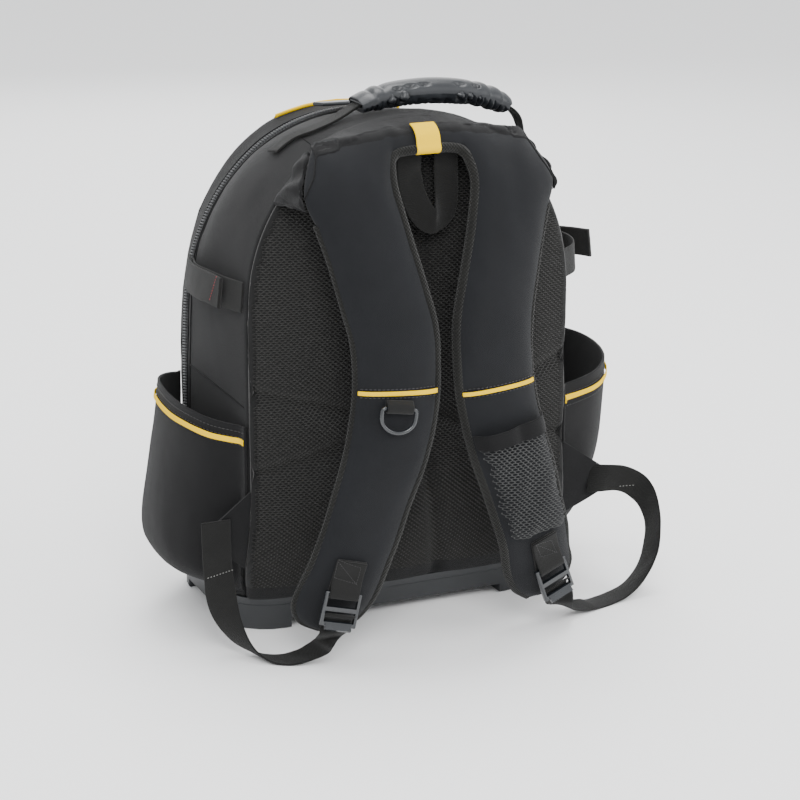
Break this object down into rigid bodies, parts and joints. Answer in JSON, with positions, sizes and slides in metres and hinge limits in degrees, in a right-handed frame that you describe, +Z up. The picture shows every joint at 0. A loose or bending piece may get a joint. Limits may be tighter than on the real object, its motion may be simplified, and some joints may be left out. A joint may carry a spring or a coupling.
{
  "type": "tool backpack",
  "caption": "Upright tool backpack on a moulded tray, with padded harness, side pockets, zip, carrying handle and a swinging D-ring.",
  "frame": {"origin": "centre of the tray's underside, on the floor", "axes": "+Z up; -Y towards the harness and the wearer's back; +X to the right as the harness is looked at"},
  "size_m": [0.4369, 0.2897, 0.4626],
  "materials": {
    "nylon": "fine matt woven nylon",
    "air_mesh": "perforated air mesh over foam",
    "moulded_tray": "fine moulded grain",
    "webbing": "ribbed webbing",
    "yellow_trim": "woven tape",
    "net": "open knitted net",
    "zip_coil": "coil zip on woven tape",
    "buckle_plastic": "smooth moulded",
    "grip_rubber": "satin moulded rubber"
  },
  "bodies": {
    "pack": {"back_panel": "air_mesh", "base_tray": "moulded_tray", "d_ring_tab": "webbing", "front_gusset": "nylon", "front_panel": "nylon", "handle_grip": "grip_rubber", "handle_strap": "webbing", "harness": "nylon", "haul_loop": "webbing", "ladder_lock_left": "buckle_plastic", "ladder_lock_right": "buckle_plastic", "lock_tab_left": "webbing", "lock_tab_right": "webbing", "mesh_pouch": "net", "pocket_band_left": "yellow_trim", "pocket_band_right": "yellow_trim", "pocket_left": "nylon", "pocket_right": "nylon", "pouch_binding": "nylon", "rear_gusset": "nylon", "shoulder_web_left": "nylon", "shoulder_web_right": "nylon", "side_strap_left": "webbing", "side_strap_right": "webbing", "side_tab_left": "webbing", "side_tab_right": "webbing", "strap_band_left": "yellow_trim", "strap_band_right": "yellow_trim", "top_piping": "yellow_trim", "webbing_left": "webbing", "webbing_right": "webbing", "wing_left": "nylon", "wing_right": "nylon", "yoke_patch": "yellow_trim", "zip_chain": "zip_coil", "zip_pull": "grip_rubber", "zip_slider": "buckle_plastic"},
    "d_ring": {"d_ring": "buckle_plastic"}
  },
  "joints": [
    {"name": "d_ring_swing", "type": "hinge", "parent": "pack", "child": "d_ring", "pos_m": [-0.04746, -0.19466, 0.22011], "axis": [-0.9858, 0.1031, 0.1326], "range_deg": [0, 150]}
  ]
}
